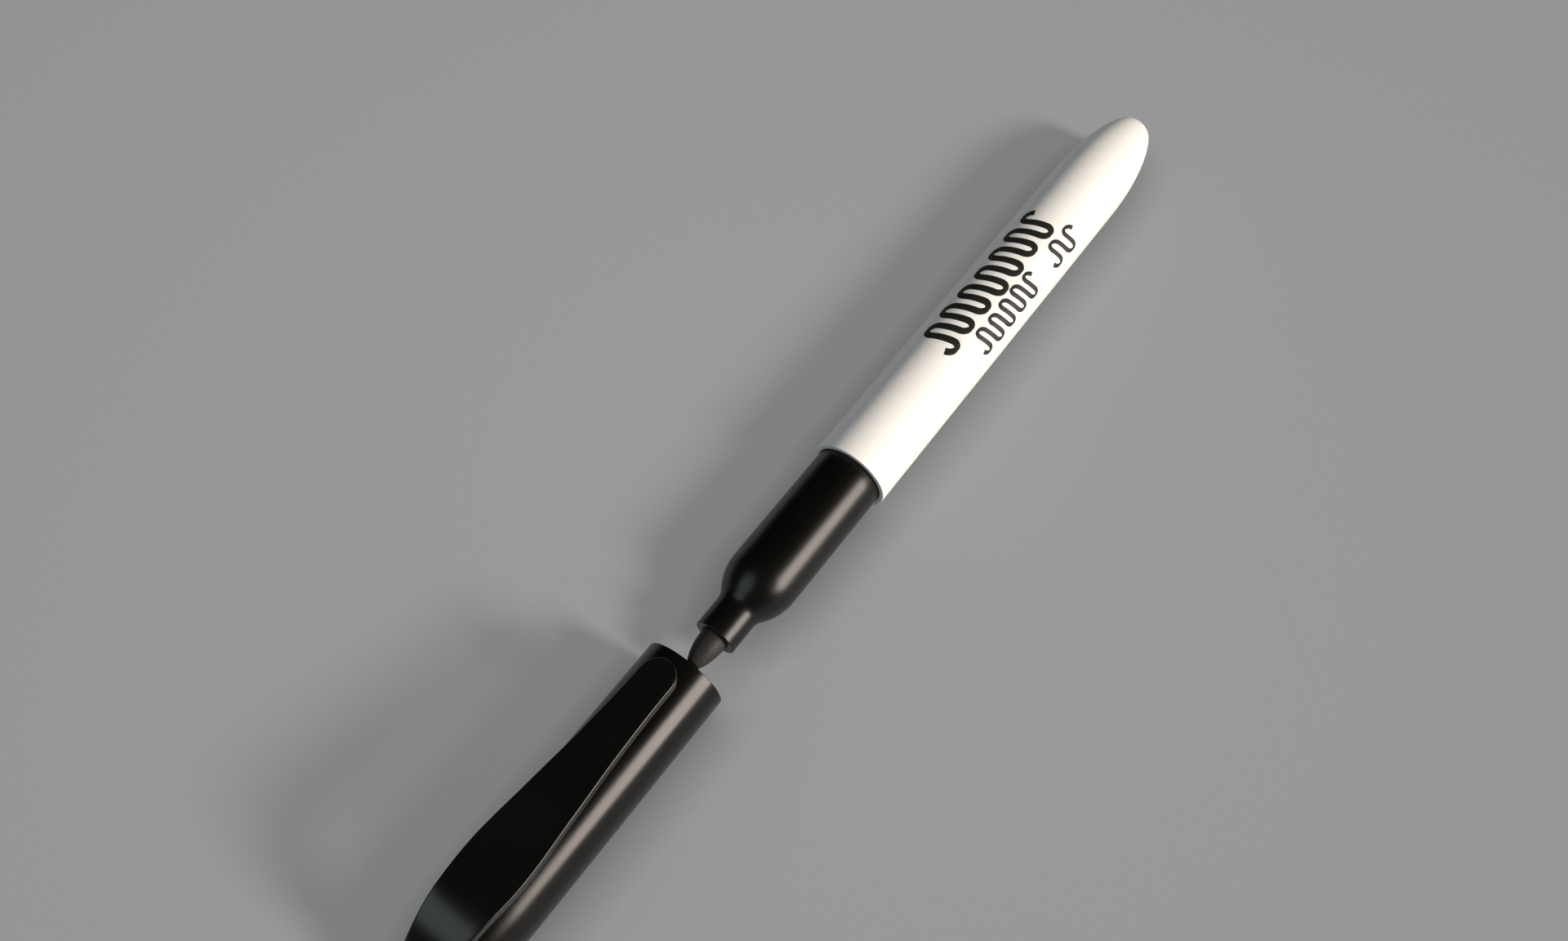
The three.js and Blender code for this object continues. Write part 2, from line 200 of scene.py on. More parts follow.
SEGMENTS = 144  # round a piece
INNER_SEGMENTS = 96  # round the reservoir and its film
TUBE_SEGMENTS = 32
STEP = 2.0  # longest side of a face along the axis
ARC_STEP = math.radians(15)  # turn between two points of a fillet
CURVE_POINTS = 20
SAME_POINT = 1e-7  # metres within which two points of a mesh are merged

NOISE_SPAN = (0.3, 0.7)  # most values of a noise texture lie between these

# ---- Floor, light and camera ----

LOOK_AT = Vector((84.2, -9.9, -6)) * MM
CAMERA_AZIMUTH = math.radians(126.76)
CAMERA_ELEVATION = math.radians(60.96)
CAMERA_DISTANCE = 199.1 * MM
CAMERA_LENS = 30.78

# Lamps: azimuth and elevation in degrees, distance and size in metres, power in watts
KEY_COLOUR = (1.0, 0.89, 0.79)
KEY = {"angles": (187, 30.5), "distance": 8, "size": (1.9, 1.9), "power": 960, "colour": KEY_COLOUR}
DIFFUSER = {"angles": (197.5, 20.5), "distance": 3, "size": (1.95, 1.7), "power": 80, "colour": KEY_COLOUR}
FILL = {"angles": (61, 49), "distance": 4, "size": (3.2, 3.2), "power": 24, "colour": (0.88, 0.98, 1.0)}

SURROUND_COLOUR = (0.97, 1.0, 1.0, 1)
SURROUND = 0.125  # strength of the surrounding light
SURROUND_REFLECTED = 0.01  # its strength in reflections
BACKDROP = 0.18  # what the camera sees beyond the floor, on top of the surround

FLOOR_REACH = 20000  # from the middle of the floor to its edges, in millimetres
# The floor's glow is painted light standing in for a wide room's light, and it fades away from the middle
# of the view
FLOOR_GLOW = (0.188, 0.155)  # in the middle of the view and away from it
FLOOR_GLOW_RANGE = (40, 260)  # distances from the middle between which the glow fades, in millimetres
# Painted contact shadow: the floor's glow is dimmed near objects
CONTACT_REACH = 7  # how near an object dims the glow, in millimetres


# ---- Profiles: lists of (x, radius), with a fillet's radius as third value at a rounded corner ----


def curve(start, control, end, points=8):
    """A quadratic curve without its first point."""
    found = []
    for i in range(1, points + 1):
        t = i / points
        weights = ((1 - t) ** 2, 2 * t * (1 - t), t * t)
        found.append(tuple(sum(w * p[k] for w, p in zip(weights, (start, control, end))) for k in (0, 1)))
    return found


def arc(centre, radius, start, end, points=CURVE_POINTS):
    """Points of an arc round (x, radius), by angles from +radius towards +x."""
    angles = [start + (end - start) * i / points for i in range(points + 1)]
    return [(centre[0] + radius * math.sin(a), centre[1] + radius * math.cos(a)) for a in angles]


def taper_radius(distance, full_radius=BODY_RADIUS, semi_axis=TAPER_SEMI_AXIS):
    """Radius of a closed end at a distance from its flat."""
    return full_radius * math.sqrt(1 - ((TAPER_LENGTH - distance) / semi_axis) ** 2)


def taper(start, full_radius):
    """Points of a closed end's taper, from a distance from its flat to where it reaches full width."""
    sine = (TAPER_LENGTH - start) / TAPER_SEMI_AXIS
    angles = [math.asin(sine) * (1 - i / CURVE_POINTS) for i in range(CURVE_POINTS + 1)]
    return [(TAPER_LENGTH - TAPER_SEMI_AXIS * math.sin(a), full_radius * math.cos(a)) for a in angles]


def closed_end():
    """Outside of a closed end, from its middle outwards. Its x is the distance from the flat."""
    nub = GATE_DEPTH - GATE_NUB_HEIGHT
    dimple = [(nub, 0), (nub, GATE_NUB_RADIUS, 0.05), (GATE_DEPTH, GATE_NUB_RADIUS, 0.05)]
    dimple += [(GATE_DEPTH, GATE_RADIUS - GATE_DRAFT, 0.08), (0, GATE_RADIUS, 0.06)]
    corner = curve((0, END_FLAT_RADIUS), (0, taper_radius(0)), (END_ROUND, taper_radius(END_ROUND)))
    return dimple + [(0, END_FLAT_RADIUS)] + corner + taper(END_ROUND, BODY_RADIUS)[1:]


def fillet(before, corner, after):
    """The arc that rounds a corner given as (x, radius, fillet radius)."""
    here = Vector(corner[:2])
    back = Vector(before[:2]) - here
    ahead = Vector(after[:2]) - here
    turn = math.pi - back.angle(ahead)
    if turn < ARC_STEP / 4:
        return [tuple(here)]
    reach = min(corner[2] * math.tan(turn / 2), 0.49 * back.length, 0.49 * ahead.length)
    start = here + back.normalized() * reach
    end = here + ahead.normalized() * reach
    count = max(2, math.ceil(turn / ARC_STEP))
    radius = reach / math.tan(turn / 2)
    middle = here + (back.normalized() + ahead.normalized()).normalized() * (radius / math.cos(turn / 2))
    spokes = (start - middle, end - middle)
    angle = spokes[0].angle(spokes[1])
    found = []
    for i in range(count + 1):
        t = i / count
        a = math.sin((1 - t) * angle) / math.sin(angle)
        b = math.sin(t * angle) / math.sin(angle)
        found.append(tuple(middle + a * spokes[0] + b * spokes[1]))
    return found


def finished(profile, closed):
    """Rounds the corners of a profile and splits its long sides."""
    count = len(profile)
    rounded = []
    for i, point in enumerate(profile):
        inner = closed or 0 < i < count - 1
        if len(point) == 3 and inner:
            rounded += fillet(profile[i - 1], point, profile[(i + 1) % count])
        else:
            rounded.append(point[:2])
    split = []
    last = len(rounded) if closed else len(rounded) - 1
    for i in range(last):
        start = Vector(rounded[i])
        end = Vector(rounded[(i + 1) % len(rounded)])
        parts = max(1, math.ceil(abs(end.x - start.x) / STEP))
        split += [tuple(start.lerp(end, k / parts)) for k in range(parts)]
    if not closed:
        split.append(rounded[-1])
    return split


# ---- Meshes ----


def add_object(name, mesh):
    made = bpy.data.objects.new(name, mesh)
    bpy.context.scene.collection.objects.link(made)
    return made


def solid(name, points, faces):
    """A smooth object from points in millimetres, with its faces turned outwards."""
    mesh = bpy.data.meshes.new(name)
    mesh.from_pydata([Vector(p) * MM for p in points], [], faces)
    work = bmesh.new()
    work.from_mesh(mesh)
    bmesh.ops.remove_doubles(work, verts=work.verts, dist=SAME_POINT)
    bmesh.ops.recalc_face_normals(work, faces=work.faces)
    work.to_mesh(mesh)
    work.free()
    mesh.shade_smooth()
    return add_object(name, mesh)


def revolve(name, profile, segments=SEGMENTS, centre_z=0.0):
    """Turns a profile round the X axis. One that starts and ends on the axis is left open there."""
    closed = profile[0][1] > 0
    profile = finished(profile, closed)
    points = []
    rings = []
    for x, radius in profile:
        if radius < 1e-6:
            rings.append([len(points)] * segments)
            points.append((x, 0, centre_z))
            continue
        rings.append(list(range(len(points), len(points) + segments)))
        for i in range(segments):
            angle = 2 * math.pi * i / segments
            points.append((x, radius * math.sin(angle), centre_z + radius * math.cos(angle)))
    faces = []
    pairs = list(zip(rings, rings[1:]))
    if closed:
        pairs.append((rings[-1], rings[0]))
    for ring, after in pairs:
        for i in range(segments):
            j = (i + 1) % segments
            corners = [ring[i], ring[j], after[j], after[i]]
            faces.append(list(dict.fromkeys(corners)))
    return solid(name, points, faces)


def extrude(name, outline, direction):
    """A solid from a flat outline of 3-D points and the vector it is drawn along."""
    count = len(outline)
    points = [Vector(p) for p in outline]
    points += [p + Vector(direction) for p in points]
    faces = [list(range(count)), list(range(2 * count - 1, count - 1, -1))]
    faces += [[i, (i + 1) % count, count + (i + 1) % count, count + i] for i in range(count)]
    made = solid(name, points, faces)
    made.data.shade_flat()
    return made


def box(name, low, high, rounding=0.0):
    """A box from its two corners, with rounded edges."""
    corners = [(low[0], low[1]), (high[0], low[1]), (high[0], high[1]), (low[0], high[1])]
    made = extrude(name, [(x, y, low[2]) for x, y in corners], (0, 0, high[2] - low[2]))
    if rounding:
        round_edges(made, rounding)
    return made


def round_edges(target, width):
    bevel = target.modifiers.new("edges", "BEVEL")
    bevel.width = width * MM
    bevel.segments = 3
    bake(target)


def bake(target):
    """Turns an object's modifiers into its mesh."""
    graph = bpy.context.evaluated_depsgraph_get()
    mesh = bpy.data.meshes.new_from_object(target.evaluated_get(graph))
    target.modifiers.clear()
    target.data = mesh


def cut(target, tool, operation="DIFFERENCE"):
    """Cuts the tool from the target, or joins it on, and removes the tool."""
    step = target.modifiers.new("cut", "BOOLEAN")
    step.operation = operation
    step.solver = "EXACT"
    step.object = tool
    bake(target)
    bpy.data.objects.remove(tool)


def settle_normals(target, sharp_angle=math.radians(50)):
    """Smooth shading whose normals follow the large faces, so flats stay flat beside small fillets."""
    target.data.shade_smooth()
    target.data.set_sharp_from_angle(angle=sharp_angle)
    weighted = target.modifiers.new("normals", "WEIGHTED_NORMAL")
    weighted.keep_sharp = True
    return target


# ---- Node materials: coordinates are in millimetres of the object at rest ----


def add_node(tree, kind, inputs=None, **settings):
    """Adds a shader node. An input may be a value or another node's output."""
    made = tree.nodes.new("ShaderNode" + kind)
    for key, value in settings.items():
        setattr(made, key, value)
    for key, value in (inputs or {}).items():
        if isinstance(value, bpy.types.NodeSocket):
            tree.links.new(value, made.inputs[key])
        else:
            made.inputs[key].default_value = value
    return made


def grey(value):
    return (value, value, value, 1)


class Look:
    """A material's node tree and the calls that the materials below are written with."""

    def __init__(self, name):
        self.material = bpy.data.materials.new(name)
        self.material.use_nodes = True
        self.tree = self.material.node_tree
        self.surface = self.tree.nodes["Principled BSDF"]
        where = add_node(self.tree, "TexCoord").outputs["Object"]
        scaled = {0: where, "Scale": 1 / MM}
        self.place = add_node(self.tree, "VectorMath", scaled, operation="SCALE").outputs["Vector"]

    def set(self, **inputs):
        for key, value in inputs.items():
            socket = self.surface.inputs[key.replace("_", " ")]
            if isinstance(value, bpy.types.NodeSocket):
                self.tree.links.new(value, socket)
            else:
                socket.default_value = value

    def stretched(self, x, y, z):
        """The place, with each axis scaled."""
        inputs = {0: self.place, 1: (x, y, z)}
        return add_node(self.tree, "VectorMath", inputs, operation="MULTIPLY").outputs["Vector"]

    def noise(self, size, detail=2.0, place=None):
        """Noise from 0 to 1 whose features are about size millimetres across."""
        inputs = {"Vector": place or self.place, "Scale": 1 / size, "Detail": detail}
        return add_node(self.tree, "TexNoise", inputs).outputs[0]

    def ramp(self, value, low, high, to_low=0.0, to_high=1.0):
        """Maps low..high to to_low..to_high, without going past them."""
        inputs = {0: value, 1: low, 2: high, 3: to_low, 4: to_high}
        return add_node(self.tree, "MapRange", inputs).outputs[0]

    def maths(self, operation, first, second):
        return add_node(self.tree, "Math", {0: first, 1: second}, operation=operation).outputs[0]

    def mix(self, share, first, second):
        """Goes from the first colour to the second as share goes from 0 to 1."""
        inputs = {"Factor": share, 6: first, 7: second}
        return add_node(self.tree, "Mix", inputs, data_type="RGBA").outputs[2]

    def scratches(self, size, width):
        """Thin, nearly straight lines: 1 on a line and 0 away from it."""
        field = self.noise(size, detail=0.0, place=self.stretched(0.35, 1, 0.7))
        distance = self.maths("ABSOLUTE", self.maths("SUBTRACT", field, 0.5), 0.0)
        return self.ramp(distance, 0.0, width, 1.0, 0.0)

    def edges(self, radius):
        """1 on edges rounder than the surface around them, 0 on plain surface."""
        soft = add_node(self.tree, "Bevel", {"Radius": radius * MM}, samples=4).outputs[0]
        hard = add_node(self.tree, "NewGeometry").outputs["Normal"]
        facing = add_node(self.tree, "VectorMath", {0: soft, 1: hard}, operation="DOT_PRODUCT")
        return self.ramp(facing.outputs["Value"], 0.99, 0.85, 0.0, 1.0)

    def bump(self, height, distance, strength=1.0):
        """Bump from a height of 0 to 1 that stands for a distance in millimetres."""
        inputs = {"Height": height, "Distance": distance * MM, "Strength": strength}
        self.set(Normal=add_node(self.tree, "Bump", inputs).outputs[0])


def black_plastic(name, roughness, ior):
    """Satin black polypropylene: mould texture, a few hairline scratches, rubbed edges, faint smears."""
    look = Look(name)
    smear = look.noise(9, detail=3.0)
    grain = look.noise(0.09, detail=1.0)
    hairlines = look.maths("MULTIPLY", look.scratches(5, 0.004), look.ramp(look.noise(6), 0.55, 0.65))
    wear = look.maths("MULTIPLY", look.edges(0.25), look.ramp(look.noise(0.8, 4.0), 0.45, 0.7))
    shade = look.ramp(smear, *NOISE_SPAN)
    plain = look.mix(shade, (0.0018, 0.0018, 0.0014, 1), (0.0027, 0.0027, 0.0022, 1))
    look.set(Base_Color=look.mix(wear, plain, (0.02, 0.02, 0.02, 1)))
    satin = look.ramp(smear, *NOISE_SPAN, roughness - 0.02, roughness + 0.02)
    satin = look.maths("ADD", satin, look.maths("MULTIPLY", wear, 0.15))
    look.set(Roughness=look.maths("ADD", satin, look.maths("MULTIPLY", hairlines, 0.06)), IOR=ior)
    grooves = look.maths("MULTIPLY", hairlines, 0.3)
    look.bump(look.maths("SUBTRACT", look.maths("MULTIPLY", grain, 0.5), grooves), 0.002)
    return look.material


def white_plastic():
    """Glossy white polypropylene: slight depth, faint flow marks along it, grey scuffs from handling."""
    look = Look("white_plastic")
    flow = look.noise(3, detail=3.0, place=look.stretched(0.12, 1, 1))
    peel = look.noise(0.35, detail=2.0)
    handled = look.ramp(look.noise(5, detail=4.0), 0.56, 0.72)
    scuffs = look.maths("MULTIPLY", look.scratches(2.5, 0.01), handled)
    plain = look.mix(flow, (0.82, 0.815, 0.80, 1), (0.86, 0.855, 0.84, 1))
    scuffed = look.mix(look.maths("MULTIPLY", scuffs, 0.5), plain, (0.42, 0.42, 0.42, 1))
    worn = look.maths("MULTIPLY", look.edges(0.3), look.ramp(look.noise(1.2, 4.0), 0.5, 0.7))
    look.set(Base_Color=look.mix(look.maths("MULTIPLY", worn, 0.4), scuffed, (0.55, 0.55, 0.54, 1)))
    look.set(Roughness=look.ramp(flow, *NOISE_SPAN, 0.3, 0.38), IOR=1.49)
    look.set(Subsurface_Weight=0.05, Subsurface_Radius=(1.0, 0.9, 0.8), Subsurface_Scale=0.6 * MM)
    look.bump(look.maths("SUBTRACT", look.maths("MULTIPLY", peel, 0.5), scuffs), 0.004)
    return look.material


def felt():
    """Ink-soaked felt: fibres that run along the rod, pressed nearly smooth."""
    look = Look("felt")
    along = look.noise(0.16, detail=3.0, place=look.stretched(0.16, 1, 1))
    clumps = look.noise(0.5, detail=3.0)
    shade = look.ramp(look.maths("MULTIPLY", along, clumps), 0.12, 0.42)
    look.set(Base_Color=look.mix(shade, (0.014, 0.013, 0.012, 1), (0.032, 0.03, 0.028, 1)))
    look.set(Roughness=0.55, Specular_IOR_Level=0.5)
    look.bump(look.maths("ADD", along, clumps), 0.025)
    return look.material


def fibre():
    """The reservoir's bonded fibre, dark with ink and paler in streaks where it has drained."""
    look = Look("fibre")
    streaks = look.noise(0.22, detail=4.0, place=look.stretched(0.03, 1, 1))
    drained = look.noise(7, detail=2.0)
    pale = look.maths("MULTIPLY", streaks, look.ramp(drained, 0.4, 0.6, 0.4, 1.2))
    share = look.ramp(pale, 0.2, 0.6)
    look.set(Base_Color=look.mix(share, (0.008, 0.008, 0.009, 1), (0.06, 0.058, 0.06, 1)))
    look.set(Roughness=0.9, Sheen_Weight=0.2)
    look.bump(streaks, 0.08)
    return look.material


def film():
    """Clear wrap round the reservoir, a little crinkled."""
    look = Look("film")
    crinkle = look.noise(1.6, detail=3.0, place=look.stretched(0.35, 1, 1))
    look.set(Base_Color=look.mix(crinkle, (0.80, 0.83, 0.84, 1), (0.88, 0.9, 0.9, 1)))
    look.set(Roughness=look.ramp(crinkle, *NOISE_SPAN, 0.12, 0.28), IOR=1.5, Transmission_Weight=0.85)
    look.bump(crinkle, 0.05)
    return look.material


def soft_plastic(name, low, high, roughness):
    """Waxy, faintly see-through polyethylene, for the liner and the breather tube."""
    look = Look(name)
    cloud = look.noise(1.5, detail=3.0)
    grain = look.noise(0.12, detail=2.0)
    look.set(Base_Color=look.mix(cloud, low, high))
    look.set(Roughness=look.ramp(grain, *NOISE_SPAN, roughness - 0.05, roughness + 0.05), IOR=1.51)
    look.set(Subsurface_Weight=0.3, Subsurface_Radius=(1, 0.95, 0.9), Subsurface_Scale=0.5 * MM)
    look.bump(grain, 0.004)
    return look.material


def ink():
    """Pad-printed black ink: flat, slightly uneven where the coat is thin."""
    look = Look("ink")
    coat = look.noise(0.4, detail=3.0)
    pinholes = look.ramp(look.noise(0.12, detail=1.0), 0.72, 0.78)
    plain = look.mix(coat, (0.009, 0.009, 0.008, 1), (0.018, 0.017, 0.015, 1))
    look.set(Base_Color=look.mix(look.maths("MULTIPLY", pinholes, 0.3), plain, grey(0.3)))
    look.set(Roughness=look.ramp(coat, *NOISE_SPAN, 0.45, 0.6))
    look.bump(coat, 0.002)
    return look.material


def paper():
    """The plain floor, with a faint mottle. Its own glow stands for the light of a wide room."""
    look = Look("paper")
    mottle = look.noise(0.6, detail=4.0)
    look.set(Base_Color=look.mix(mottle, (0.128, 0.142, 0.157, 1), (0.137, 0.151, 0.167, 1)))
    look.set(Roughness=0.9, Specular_IOR_Level=0.1)
    look.bump(mottle, 0.02)
    # Painted light and shade: the floor glows, the glow fades away from the middle of the view, and it is
    # dimmed near objects as a painted contact shadow
    nearness = {"Distance": CONTACT_REACH * MM}
    painted_contact_shade = add_node(look.tree, "AmbientOcclusion", nearness, samples=8).outputs["AO"]
    away = add_node(look.tree, "VectorMath", {0: look.place, 1: LOOK_AT / MM}, operation="DISTANCE")
    glow = look.ramp(away.outputs["Value"], *FLOOR_GLOW_RANGE, *FLOOR_GLOW)
    look.set(Emission_Color=(1, 0.985, 0.982, 1), Emission_Strength=look.maths("MULTIPLY", glow, painted_contact_shade))
    return look.material


# ---- Marker pieces ----


def add_piece(piece, body, material_slot, material, *nodes):
    """Gives a piece its finish and its body, and hides the CAD nodes it stands for."""
    piece.data.materials.clear()
    piece.data.materials.append(material)
    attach(piece, body)
    if nodes:
        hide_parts(*nodes)
    return piece


def barrel():
    """The white shell: a rounded closed end, a long bore and a socket for the nib section."""
    socket_end = BARREL_END - SOCKET_DEPTH
    rim = [(BARREL_END, BODY_RADIUS, RIM_ROUND), (BARREL_END, SOCKET_RADIUS, 0.08)]
    step = [(socket_end, SOCKET_RADIUS, 0.05), (socket_end, BORE_RADIUS, 0.05)]
    bore = list(reversed(taper(END_WALL, BORE_RADIUS)))
    made = revolve("barrel_shell", closed_end() + rim + step + bore + [(END_WALL, 0)])
    for i in range(RIB_COUNT):
        cut(made, rib(2 * math.pi * i / RIB_COUNT), "UNION")
    return settle_normals(made)


def rib(turn):
    """A rail beside the reservoir inside the tail, with the step that stops the reservoir."""
    start, step, end = RIB_STATIONS
    stop, rail, root = RIB_RADII
    outline = [(start, stop), (step, stop), (step, rail), (end, rail), (end, root)]
    outline += [(2 * step - start, root), (start, taper_radius(start, root))]
    half = RIB_THICKNESS / 2
    made = extrude("rib", [(x, -half, r) for x, r in outline], (0, RIB_THICKNESS, 0))
    made.data.transform(Matrix.Rotation(turn, 4, "X"))
    return made


def nib_section():
    """The black collar: a spigot inside the barrel, a grip, a rounded shoulder and a short nozzle."""
    angle = 2 * math.atan((SECTION_RADIUS - NOZZLE_RADIUS) / SHOULDER_LENGTH)
    round_radius = SHOULDER_LENGTH / math.sin(angle) - NECK_FILLET
    neck = SHOULDER_START + SHOULDER_LENGTH
    bore = NIB_RADIUS + NIB_CLEARANCE
    profile = [(SECTION_START, SECTION_BORE_RADIUS, 0.15), (SECTION_START, SPIGOT_RADIUS, 0.3)]
    profile += [(BARREL_END - SPIGOT_FLARE, SPIGOT_RADIUS), (BARREL_END, SECTION_RADIUS)]
    profile += arc((SHOULDER_START, SECTION_RADIUS - round_radius), round_radius, 0, angle)
    profile += arc((neck, NOZZLE_RADIUS + NECK_FILLET), NECK_FILLET, math.pi + angle, math.pi, 8)
    profile += [(SECTION_FACE, NOZZLE_RADIUS, RIM_ROUND), (SECTION_FACE, bore, 0.12)]
    profile += [(SECTION_BORE_END + FUNNEL_LENGTH, bore), (SECTION_BORE_END, SECTION_BORE_RADIUS)]
    return settle_normals(revolve("nib_collar", profile))


def nib():
    """A felt rod with a bullet point."""
    profile = [(NIB_TAIL, 0), (NIB_TAIL, NIB_RADIUS - NIB_TAIL_CHAMFER, 0.2)]
    profile += [(NIB_TAIL + NIB_TAIL_CHAMFER, NIB_RADIUS, 0.3), (SECTION_FACE, NIB_RADIUS)]
    bulge = SECTION_FACE + NIB_BULGE * (NIB_TIP - SECTION_FACE)
    side_end = (NIB_TIP - NIB_TIP_ROUND, NIB_TIP_RADIUS)
    front = (NIB_TIP, NIB_TIP_RADIUS - 2 * NIB_TIP_ROUND)
    profile += curve((SECTION_FACE, NIB_RADIUS), (bulge, NIB_RADIUS), side_end, 40)
    profile += curve(side_end, (NIB_TIP, NIB_TIP_RADIUS - 0.1), front, 6)
    profile += [(NIB_TIP, NIB_FRONT_RING), (NIB_TIP, 0)]
    made = revolve("felt_nib", profile)
    roughen(made)
    return made


def roughen(felt_nib):
    """Sinks the nib's surface a little and unevenly where it stands out of the nozzle."""
    for vertex in felt_nib.data.vertices:
        here = vertex.co / MM
        out = max(0.0, min(1.0, (here.x - SECTION_FACE) / FELT_FADE))
        fibres = noise.noise(Vector(p * c for p, c in zip(FIBRE_PITCH, here)))
        grain = noise.noise(GRAIN_PITCH * here)
        sink = FELT_ROUGHNESS * out * (0.6 * (1 + fibres) + 0.4 * (1 + grain)) / 2
        radial = Vector((0, here.y, here.z))
        if radial.length > 0.1:
            vertex.co -= radial.normalized() * sink * MM
        if here.x > NIB_TIP - 0.05:
            vertex.co.x -= 0.5 * sink * MM


def reservoir_core():
    """The bundle of fibre, with a socket for the nib and a groove for the breather tube."""
    socket = NIB_RADIUS + NIB_CLEARANCE
    socket_end = NIB_TAIL - NIB_CLEARANCE
    profile = [(CORE_START, 0), (CORE_START, CORE_RADIUS, 0.2), (CORE_END, CORE_RADIUS, 0.2)]
    profile += [(CORE_END, socket, 0.15), (socket_end, socket), (socket_end, 0)]
    made = revolve("fibre_core", profile, INNER_SEGMENTS)
    half = BREATHER_RADIUS + BREATHER_CLEARANCE
    low = (CORE_START - 1, -half, -CORE_RADIUS - 1)
    high = (CORE_END + 1, half, 2 * half - CORE_RADIUS)
    cut(made, box("groove", low, high))
    return settle_normals(made, math.radians(35))


def tube(name, start, end, inner, outer, segments, centre_z=0.0):
    """A plain tube along X. Its edges are rounded by a third of its wall."""
    edge = (outer - inner) / 3
    profile = [(start, inner, edge), (start, outer, edge), (end, outer, edge), (end, inner, edge)]
    return settle_normals(revolve(name, profile, segments, centre_z))


def reservoir_film():
    return tube("film_wrap", FILM_START, FILM_END, FILM_RADIUS - FILM_WALL, FILM_RADIUS, INNER_SEGMENTS)


def breather_tube():
    radii = (BREATHER_BORE_RADIUS, BREATHER_RADIUS)
    centre_z = BREATHER_BOTTOM + BREATHER_RADIUS
    return tube("air_tube", CORE_START, BREATHER_END, *radii, TUBE_SEGMENTS, centre_z)


# ---- Cap pieces: stations are measured from the cap's mouth ----


def cap_shell():
    """The cap: a bore with a step that stops the liner, a narrowing throat, and a slot for the clip."""

    def at(station, *rest):
        return (CAP_MOUTH + station, *rest)

    inside = [at(CAP_CORE_END, 0), at(CAP_CORE_END, CAP_CORE_RADIUS, 0.3)]
    inside += [at(CAP_THROAT_END, CAP_CORE_RADIUS, 0.1), at(CAP_THROAT_END, CAP_THROAT_RADII[1], 0.2)]
    inside += [at(CAP_BORE_DEPTH, CAP_THROAT_RADII[0], 0.1), at(CAP_BORE_DEPTH, CAP_BORE_RADIUS, 0.1)]
    rim = [at(0, CAP_BORE_RADIUS, 0.18), at(0, BODY_RADIUS, RIM_ROUND)]
    outside = [(CAP_END - x, r, *rest) for x, r, *rest in reversed(closed_end())]
    made = revolve("cap_body", inside + rim + outside)
    cut(made, clip_foot("slot", FOOT_GAP, BODY_RADIUS))
    return settle_normals(made)


def clip_foot(name, gap, top):
    """The block under the clip's root, grown by a gap, up to a height above the axis."""
    x = CAP_MOUTH + FOOT_CENTRE
    reach = FOOT_SIZE[0] / 2 + gap
    half = FOOT_SIZE[1] / 2 + gap
    low = (x - reach, -half, FOOT_HEIGHTS[0] - gap)
    made = box(name, low, (x + reach, half, top), FOOT_ROUND)
    made.data.transform(Matrix.Rotation(CLIP_ROLL, 4, "X"))
    return made


def cap_liner():
    """The inner seal: a cup that closes round the nozzle, on a skirt that fits the cap's bore."""
    cup = LINER_BORE_RADIUS + LINER_WALL
    cup_end = LINER_END - LINER_FLOOR
    skirt = LINER_RADIUS - LINER_SKIRT_WALL
    profile = [(cup_end, 0), (cup_end, LINER_BORE_RADIUS, 0.4), (LINER_START, LINER_BORE_RADIUS, 0.3)]
    profile += [(LINER_START, cup, 0.2), (cup_end, cup, 0.15), (cup_end, skirt, 0.15)]
    profile += [(LINER_SKIRT_START, skirt, 0.15), (LINER_SKIRT_START, LINER_RADIUS, 0.2)]
    profile += [(LINER_END, LINER_RADIUS, 0.15), (LINER_END, 0)]
    return settle_normals(revolve("liner_cup", profile))


def clip_half_width(station):
    """Half the clip's width: a smooth curve through CLIP_HALF_WIDTHS."""
    knots = CLIP_HALF_WIDTHS
    slopes = [(b[1] - a[1]) / (b[0] - a[0]) for a, b in zip(knots, knots[1:])]
    tangents = [0.0] + [(a + b) / 2 for a, b in zip(slopes, slopes[1:])] + [slopes[-1]]
    i = max(k for k in range(len(slopes)) if k == 0 or station >= knots[k][0])
    length = knots[i + 1][0] - knots[i][0]
    t = (station - knots[i][0]) / length
    near = (1 + 2 * t) * (1 - t) ** 2 * knots[i][1] + t * t * (3 - 2 * t) * knots[i + 1][1]
    return near + length * (t * (1 - t) ** 2 * tangents[i] - t * t * (1 - t) * tangents[i + 1])


def height_on(bend, station):
    """Height at a station on a quadratic curve given by its start, control point and end."""
    start, control, end = bend
    a = start[0] - 2 * control[0] + end[0]
    b = control[0] - start[0]
    t = (math.sqrt(b * b + a * (station - start[0])) - b) / a
    return (1 - t) ** 2 * start[1] + 2 * t * (1 - t) * control[1] + t * t * end[1]


def clip_top(station):
    """Height of the clip's top above the axis: a straight blade, then a bend down to the closed end."""
    bend_start, bend_top = CLIP_BEND[0]
    if station > bend_start:
        return height_on(CLIP_BEND, station)
    return CLIP_MOUTH_TOP + (bend_top - CLIP_MOUTH_TOP) * station / bend_start


def clip_underside(station, y):
    """Height of the clip's underside, which hugs the cap at the root."""
    if station <= CLIP_UNDER_BEND[0][0]:
        return clip_top(station) - CLIP_THICKNESS
    distance = CAP_END - CAP_MOUTH - station
    radius = taper_radius(distance, BODY_RADIUS + CLIP_GAP, TAPER_SEMI_AXIS + CLIP_GAP)
    hugging = math.sqrt(radius * radius - y * y)
    if station >= CLIP_UNDER_BEND[2][0]:
        return hugging
    return max(hugging, height_on(CLIP_UNDER_BEND, station))


def even_steps(start, end, step):
    """Values from start to end, evenly spaced by at most a step."""
    count = math.ceil((end - start) / step)
    return [start + (end - start) * i / count for i in range(count + 1)]


